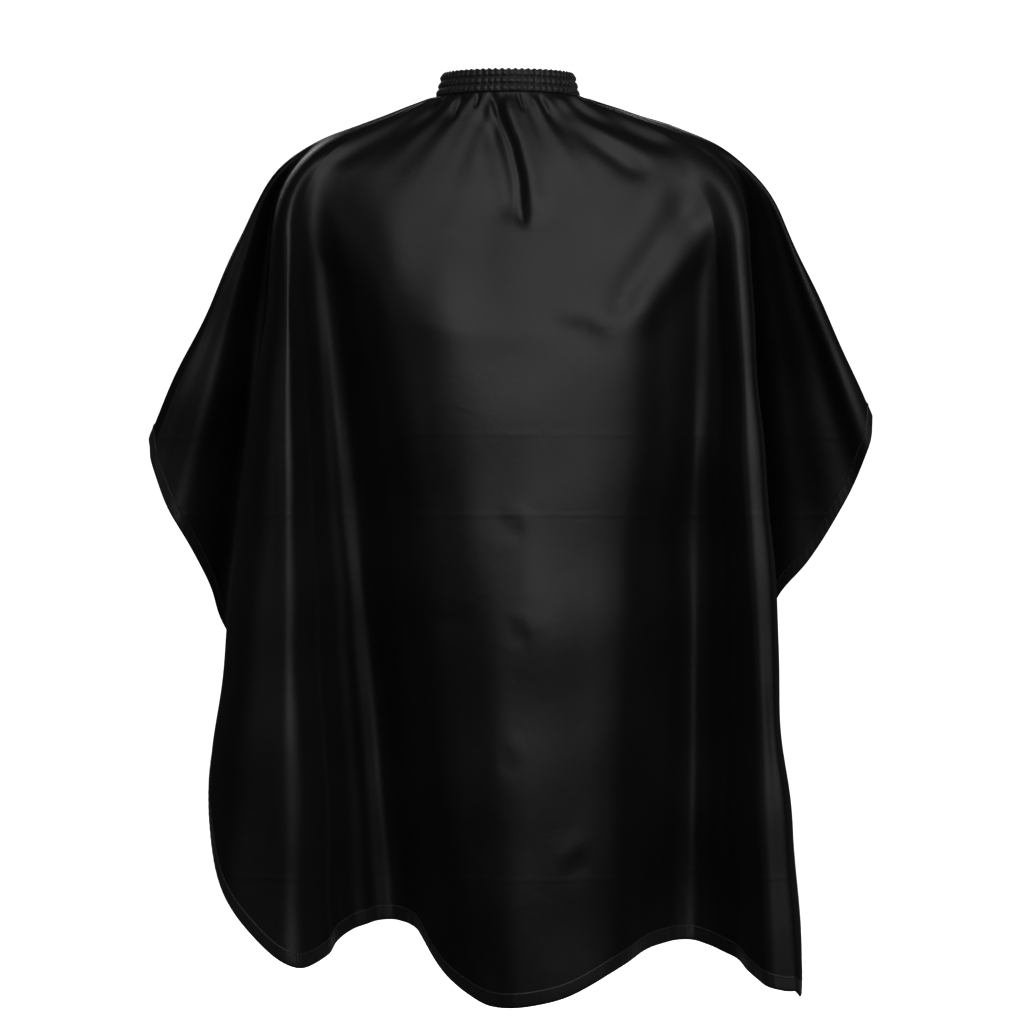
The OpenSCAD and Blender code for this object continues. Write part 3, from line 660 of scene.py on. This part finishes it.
def shirred_lift(turn, z, sizes):
    """Lift of the shirred outer layer: |sin| of the height in its channel to 0.7, times a puff round the neck,
    |sin|^0.6 of the arc over the pitch, which wanders a little from channel to channel. The overlap's root
    presses it flat."""
    arc = np.radians(turn) * CONE_R
    channel = np.clip(np.floor((z - BAND_LOW) / BAND_H * CHANNELS), 0, CHANNELS - 1)
    within = (z - BAND_LOW) / BAND_H * CHANNELS
    slide = 1.1 * MM * wander(5, arc, channel * 9 * MM, 34 * MM) + 0.5 * MM * np.sin(channel * 2.1)
    round_neck = np.abs(np.sin(math.pi * (arc + slide) / sizes.puff_pitch)) ** 0.6
    size = 1 + 0.22 * wander(7, arc, channel * 13 * MM, 15 * MM)
    up = np.abs(np.sin(math.pi * within)) ** 0.7
    pressed = smooth(ROOT_TO - 362, ROOT_TO - 358, turn)
    return LINING_T + CHANNEL_GAP + OUTER_T + sizes.puff * up * (0.3 + 0.7 * round_neck) * size * pressed


def top_frill(arc, z, height, sizes):
    """Frill of the band's top edge: the height times sin(tau * arc / pitch + 0.9), fading out below the edge."""
    return smooth(BAND_TOP - FRILL_H, BAND_TOP, z) * height * np.sin(math.tau * arc / sizes.puff_pitch + 0.9)


class CapeMaker:
    """What every operator of the cape shares."""
    bl_options = {"REGISTER", "UNDO"}

    @property
    def sizes(self):
        """The sizes kept in the scene."""
        return bpy.context.scene.cape_sizes

    def place(self, piece, node, slot="black_nylon"):
        """Puts the piece in place of its CAD node. The overlap and its stitches keep their place unattached, and
        the other pieces ride on the cape."""
        if node in ("overlap_tab", "overlap_stitching"):
            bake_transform(piece)
        else:
            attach(piece, "cape")
        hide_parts(node)


class CAPE_OT_panel(CapeMaker, bpy.types.Operator):
    """Make the hanging panel of satin nylon"""
    bl_idname = "cape.panel"
    bl_label = "Panel"

    def execute(self, context):
        """Closes the outer face and the same face moved in by the cloth's thickness."""
        shape = panel_grid(self.sizes)
        points, quads = two_sided(shape["grid"], shape["grid"] - shape["out"] * self.sizes.cloth_t)
        flat = shape["flat"].reshape(-1, 2)
        panel = closed_piece("satin_panel", points, quads, finish_of("satin_nylon"), np.concatenate([flat, flat]))
        self.place(panel, "cape_panel")
        return {"FINISHED"}


class CAPE_OT_hems(CapeMaker, bpy.types.Operator):
    """Make the turned hems round the cape and along its back slit"""
    bl_idname = "cape.hems"
    bl_label = "Hems"

    def execute(self, context):
        """Carries a flattened tube along each stretch of the edge."""
        shape = panel_grid(self.sizes)
        grid, out, turn, flat = shape["grid"], shape["out"], shape["turn"], shape["flat"]
        last = len(turn) - 1
        stretches = {"hem_front": (-CORNER_FRONT, CORNER_FRONT), "hem_left": (CORNER_FRONT, CORNER_BACK),
                     "hem_right": (-CORNER_BACK, -CORNER_FRONT), "hem_back_left": (CORNER_BACK, 180),
                     "hem_back_right": (-180, -CORNER_BACK)}
        rows = slice(-len(HEM_ROWS) - 1, None)
        for name, (start, stop) in stretches.items():
            first, stop = np.searchsorted(turn, start - 1e-6), min(np.searchsorted(turn, stop - 1e-6), last)
            line, outs = between(grid[rows, first:stop + 1], 4), between(out[rows, first:stop + 1], 4)
            uv = between(flat[rows, first:stop + 1], 4)
            self.make("folded_" + name, name, line, outs, uv)
        across = np.array([0, 0.06, 0.2, 0.45, 0.7, 1])
        for name, edge, way in (("slit_hem_left", last, -1), ("slit_hem_right", 0, 1)):
            start, inner = grid[:-1, edge], grid[:-1, edge + 5 * way]
            width = np.linalg.norm(inner - start, axis=-1, keepdims=True)
            reach = start + (inner - start) / width * np.minimum(self.sizes.hem_w, width * 1.3)
            line = start + (reach - start) * across[::-1, None, None]
            outs = np.repeat(out[None, :-1, edge + way], len(across), 0)
            along = across[::-1, None, None] * [self.sizes.hem_w, 0]
            uv = np.repeat(flat[None, :-1, edge], len(across), 0) + along
            self.make("folded_" + name, name, line[:, 2:], outs[:, 2:], uv[:, 2:])
        return {"FINISHED"}

    def make(self, name, node, line, outs, uv):
        """One hem piece in place of its CAD node."""
        reach = np.r_[0, np.cumsum(np.linalg.norm(np.diff(line[-1], axis=0), axis=-1))]
        rings = hem_rings(line, outs, self.sizes.hem_t, pucker(reach, self.sizes.stitch, len(name)))
        points, quads = tube(rings)
        both = np.concatenate([uv, uv[::-1]]).transpose(1, 0, 2).reshape(-1, 2)
        hem = closed_piece(name, points, quads, finish_of("sewn_nylon_painted_lit"), both)
        self.place(hem, node)


class CAPE_OT_stitches(CapeMaker, bpy.types.Operator):
    """Sew the hems round the cape and along its back slit"""
    bl_idname = "cape.stitches"
    bl_label = "Hem stitches"

    def execute(self, context):
        """Runs one row of stitches round the hem and one down each slit edge."""
        shape = panel_grid(self.sizes)
        grid, out = shape["grid"], shape["out"]
        row = -len(HEM_ROWS)
        lift = self.sizes.hem_t * 0.42
        line, outs = grid[row, 1:-1] + out[row, 1:-1] * lift, out[row, 1:-1]
        rows = {"hem_stitches": ("hem_stitching", line, outs)}
        for name, edge, way in (("slit_stitches_left", -1, -1), ("slit_stitches_right", 0, 1)):
            start, inner = grid[3:-2, edge], grid[3:-2, edge + 5 * way]
            width = np.linalg.norm(inner - start, axis=-1, keepdims=True)
            at = start + (inner - start) / width * np.minimum(self.sizes.hem_w - 1.5 * MM, width * 1.15)
            rows[name] = ("slit_stitching", at + out[3:-2, edge + way] * lift, out[3:-2, edge + way])
        for name, (node, line, outs) in rows.items():
            self.place(sew(name, line, outs, self.sizes), node, "black_thread")
        return {"FINISHED"}


class CAPE_OT_neckband(CapeMaker, bpy.types.Operator):
    """Make the shirred neckband: its outer layer, lining, elastics and stitch rows"""
    bl_idname = "cape.neckband"
    bl_label = "Neckband"

    def execute(self, context):
        """Builds the band from its layers, inside out."""
        self.outer()
        self.lining()
        self.elastics()
        self.shirring()
        return {"FINISHED"}

    def outer(self):
        """The puffed outer layer, its top edge frilled by 0.9 mm and flared by 0.6 mm."""
        turn = np.linspace(BAND_FROM, BAND_TO, 780)[None, :]
        z = np.linspace(BAND_TOP, BAND_LOW, 34)[:, None]
        lift = shirred_lift(turn, z, self.sizes)
        arc = np.radians(turn) * CONE_R
        frill = top_frill(arc, z, 0.9 * MM, self.sizes)
        flare = smooth(BAND_TOP - FRILL_H, BAND_TOP, z) * 0.6 * MM
        near = on_cone(turn, z + frill, lift + flare)
        far = on_cone(turn, z + frill, np.maximum(lift + flare - 0.7 * MM, LINING_T + CHANNEL_GAP))
        uv = np.stack(np.broadcast_arrays(arc * 1.5, z + 0 * arc), -1).reshape(-1, 2)
        points, quads = two_sided(near, far)
        uv = np.concatenate([uv, uv])
        self.place(closed_piece("shirred_band", points, quads, finish_of("sewn_nylon_painted_lit"), uv), "neckband_outer")

    def lining(self):
        """The lining, in shallow upright gathers 0.25 mm high on its inner face."""
        turn = np.linspace(BAND_FROM, BAND_TO, 600)[None, :]
        z = np.linspace(BAND_TOP, BAND_LOW, 14)[:, None]
        arc = np.radians(turn) * CONE_R
        uneven = arc + 0.6 * MM * wander(9, arc, z, 30 * MM)
        dip = 0.25 * MM * (1 - np.abs(np.sin(math.pi * uneven / self.sizes.puff_pitch)))
        frill = top_frill(arc, z, 0.7 * MM, self.sizes)
        near = on_cone(turn, z + frill, LINING_T - 0.1 * MM + 0 * arc)
        far = on_cone(turn, z + frill, dip)
        uv = np.stack(np.broadcast_arrays(arc, z + 0 * arc), -1).reshape(-1, 2)
        points, quads = two_sided(near, far)
        uv = np.concatenate([uv, uv])
        self.place(closed_piece("gathered_lining", points, quads, finish_of("sewn_nylon_painted_lit"), uv), "neckband_lining")

    def elastics(self):
        """One stretched elastic in each channel."""
        for node in ("elastic_bottom", "elastic_middle", "elastic_top"):
            low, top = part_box(node)[0].z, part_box(node)[1].z
            turns = np.linspace(BAND_FROM, BAND_TO, 220)
            middle = LINING_T + CHANNEL_GAP / 2
            points, quads, uv = slab_on_cone(turns, low, top, middle - 0.5 * MM, middle + 0.5 * MM, 0.4 * MM, 0)
            strip = closed_piece("woven_" + node, points, quads, finish_of("woven_elastic"), uv)
            self.place(strip, node, "woven_elastic")

    def shirring(self):
        """Four stitch rows in the valleys between the puffs."""
        turn = np.linspace(BAND_FROM + 0.5, BAND_TO - 0.5, 900)
        for row in range(CHANNELS + 1):
            z = np.clip(BAND_LOW + BAND_H * row / CHANNELS, BAND_LOW + 0.9 * MM, BAND_TOP - 0.9 * MM)
            lift = shirred_lift(turn, np.full(turn.shape, z), self.sizes)
            line = on_cone(turn, np.full(turn.shape, z), lift + 0.1 * MM)
            outs = np.stack([np.sin(np.radians(turn)), -np.cos(np.radians(turn)), 0 * turn], -1)
            thread = sew(f"shirring_stitches_{row + 1}", line, outs, self.sizes)
            self.place(thread, f"shirring_row_{row + 1}", "black_thread")


class CAPE_OT_tabs(CapeMaker, bpy.types.Operator):
    """Make the closure's two tabs and their edge stitching"""
    bl_idname = "cape.tabs"
    bl_label = "Closure tabs"

    def execute(self, context):
        """Makes the underlap, the root of the overlap and the overlap beside its root."""
        self.tab("underlap_layer", "underlap_tab", UNDERLAP_FROM, UNDERLAP_TO, 0.0, 1.0 * MM, 2.5 * MM)
        self.tab("overlap_root_layer", "overlap_root", TAB_ROOT + 0.27, ROOT_TO, 4.42 * MM, 5.5 * MM, 1.0 * MM)
        self.tab("overlap_layer", "overlap_tab", TAB_END, TAB_ROOT, 4.5 * MM, 5.5 * MM, 5.0 * MM)
        self.edge("underlap_stitches", "underlap_stitching", UNDERLAP_FROM + 3, UNDERLAP_TO - 2, 1.0 * MM,
                  2.6 * MM)
        self.edge("overlap_stitches", "overlap_stitching", TAB_END + 4, TAB_ROOT - 1, 5.5 * MM, 2.0 * MM)
        return {"FINISHED"}

    def tab(self, name, node, start, stop, from_lift, to_lift, corner):
        """One flat tab of folded nylon."""
        turns = np.linspace(start, stop, int((stop - start) * 3))
        points, quads, uv = slab_on_cone(turns, BAND_LOW + 0.1 * MM, BAND_TOP - 0.1 * MM, from_lift, to_lift,
                                         corner, 0.06 * MM)
        piece = closed_piece(name, points, quads, finish_of("sewn_nylon_painted_lit"), uv)
        self.place(piece, node, "black_nylon")

    def edge(self, name, node, start, stop, lift, inset):
        """Rows of stitches near a tab's two long edges, joined into one piece."""
        turn = np.linspace(start, stop, 300)
        outs = np.stack([np.sin(np.radians(turn)), -np.cos(np.radians(turn)), 0 * turn], -1)
        rows = [sew(name + end, on_cone(turn, np.full(turn.shape, z), lift), outs, self.sizes)
                for end, z in (("_low", BAND_LOW + inset), ("_top", BAND_TOP - inset))]
        for row in rows:
            self.place(row, node, "black_thread")


class CAPE_OT_snaps(CapeMaker, bpy.types.Operator):
    """Give the snaps their nickel plate"""
    bl_idname = "cape.snaps"
    bl_label = "Snaps"

    def execute(self, context):
        """The CAD's own solids stay and take the metal material."""
        for node in ("snap_caps", "snap_sockets", "snap_springs", "snap_studs", "snap_rivets"):
            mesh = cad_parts[node].data
            mesh.materials.clear()
            mesh.materials.append(finish_of("nickel_plate"))
        return {"FINISHED"}


class CAPE_OT_declare(CapeMaker, bpy.types.Operator):
    """An empty step: it declares no piece as cloth and records no cut size"""
    bl_idname = "cape.declare"
    bl_label = "Declare cloth"

    def execute(self, context):
        """The panel was cut about 1.12 by 1.43 m with rounded corners; the band's layers are narrow strips."""
        return {"FINISHED"}


class CAPE_OT_stage(CapeMaker, bpy.types.Operator):
    """Set up the studio: floor, backdrop, lights and camera"""
    bl_idname = "cape.stage"
    bl_label = "Studio"

    def execute(self, context):
        """A pale floor that curves up into a backdrop, soft lights in front, above, beside and behind, and a
        camera at chest height."""
        self.backdrop()
        self.light("key_softbox", (1.0, -3.5, 0.85), (0.0, 0.0, -0.4), 3.6, 1.5, 82)
        self.light("upper_softbox", (0.4, -2.3, 2.3), (0.0, 0.0, -0.15), 4.2, 1.6, 96)
        self.light("left_softbox", (-3.0, -1.3, 0.3), (-0.2, 0.0, -0.4), 0.7, 1.6, 8)
        self.light("right_softbox", (3.0, -1.6, 0.6), (0.1, 0.0, -0.3), 1.2, 1.6, 16)
        self.light("back_softbox", (-0.4, 4.2, 1.2), (0.0, 0.0, -0.4), 2.6, 1.5, 60)
        bpy.context.scene.view_settings.view_transform = "Standard"
        bpy.context.scene.view_settings.gamma = 0.72
        world = bpy.context.scene.world or bpy.data.worlds.new("studio")
        bpy.context.scene.world = world
        world.use_nodes = True
        background = world.node_tree.nodes.get("Background") or world.node_tree.nodes.new("ShaderNodeBackground")
        background.inputs["Color"].default_value = (1, 1, 1, 1)
        background.inputs["Strength"].default_value = 0.03
        lens = bpy.data.cameras.new("studio_camera")
        lens.lens, lens.sensor_width = 172.8, 36
        camera = bpy.data.objects.new("studio_camera", lens)
        camera.location = (0.004, -5.0, -0.433)
        camera.rotation_euler = (math.pi / 2, 0, 0)
        bpy.context.scene.collection.objects.link(camera)
        bpy.context.scene.camera = camera
        return {"FINISHED"}

    def backdrop(self):
        """A sheet 14 m wide: flat floor, then a quarter circle of 1.5 m radius, then an upright wall."""
        floor, wall, radius = -1.25, 8.0, 1.5
        bend = np.linspace(0, math.pi / 2, 24)
        y = np.r_[-10.0, -4.0, wall - radius + radius * np.sin(bend), wall]
        z = np.r_[floor, floor, floor + radius * (1 - np.cos(bend)), 8.0]
        x = np.linspace(-9, 9, 15)
        points = np.stack(np.broadcast_arrays(x[None, :], y[:, None], z[:, None]), -1).reshape(-1, 3)
        material, tree, shader = new_material("painted_studio_paper", Roughness=0.9,
                                              Base_Color=rgba(bpy.context.scene.cape_paints.floor))
        place = add(tree, "ShaderNodeTexCoord")
        grain = add(tree, "ShaderNodeTexNoise", {"Vector": place.outputs["Object"], "Scale": 400.0})
        bump = add(tree, "ShaderNodeBump", {"Height": grain.outputs["Fac"], "Strength": 0.1, "Distance": 0.1 * MM})
        tree.links.new(bump.outputs["Normal"], shader.inputs["Normal"])
        shader.inputs["Emission Color"].default_value = (1, 1, 1, 1)
        shader.inputs["Emission Strength"].default_value = 1.0
        paper = mesh_piece("studio_backdrop", points, grid_quads(len(y), len(x)), material)
        paper.visible_diffuse = paper.visible_glossy = False

    def light(self, name, place, target, width, height, power):
        """One oblong area light turned to its target."""
        lamp = bpy.data.lights.new(name, "AREA")
        lamp.shape, lamp.size, lamp.size_y, lamp.energy = "RECTANGLE", width, height, power
        light = bpy.data.objects.new(name, lamp)
        light.visible_camera = False
        light.location = place
        light.rotation_euler = (Vector(target) - Vector(place)).to_track_quat("-Z", "Y").to_euler()
        bpy.context.scene.collection.objects.link(light)


class CAPE_PT_panel(bpy.types.Panel):
    """Lists the cape's pieces in the 3D view's sidebar"""
    bl_idname = "CAPE_PT_panel"
    bl_label = "Barber cape"
    bl_space_type = "VIEW_3D"
    bl_region_type = "UI"
    bl_category = "Cape"

    def draw(self, context):
        """One button for each operator, then the sizes and colours."""
        for maker in MAKERS:
            self.layout.operator(maker.bl_idname)
        for group in (context.scene.cape_sizes, context.scene.cape_paints):
            for name in group.bl_rna.properties.keys():
                if name not in ("rna_type", "name"):
                    self.layout.prop(group, name)


MAKERS = [CAPE_OT_panel, CAPE_OT_hems, CAPE_OT_stitches, CAPE_OT_neckband, CAPE_OT_tabs, CAPE_OT_snaps,
          CAPE_OT_declare, CAPE_OT_stage]
CLASSES = [CapeSizes, CapePaints, *MAKERS, CAPE_PT_panel]


def register():
    """Registers the classes and hangs the two property groups on the scene."""
    for part in CLASSES:
        bpy.utils.register_class(part)
    bpy.types.Scene.cape_sizes = bpy.props.PointerProperty(type=CapeSizes)
    bpy.types.Scene.cape_paints = bpy.props.PointerProperty(type=CapePaints)


def unregister():
    """Takes the property groups and classes away again."""
    del bpy.types.Scene.cape_paints
    del bpy.types.Scene.cape_sizes
    for part in reversed(CLASSES):
        bpy.utils.unregister_class(part)


def main():
    """Makes every piece in order."""
    register()
    bpy.ops.cape.panel()
    bpy.ops.cape.hems()
    bpy.ops.cape.stitches()
    bpy.ops.cape.neckband()
    bpy.ops.cape.tabs()
    bpy.ops.cape.snaps()
    bpy.ops.cape.declare()
    bpy.ops.cape.stage()


if __name__ == "__main__":
    main()
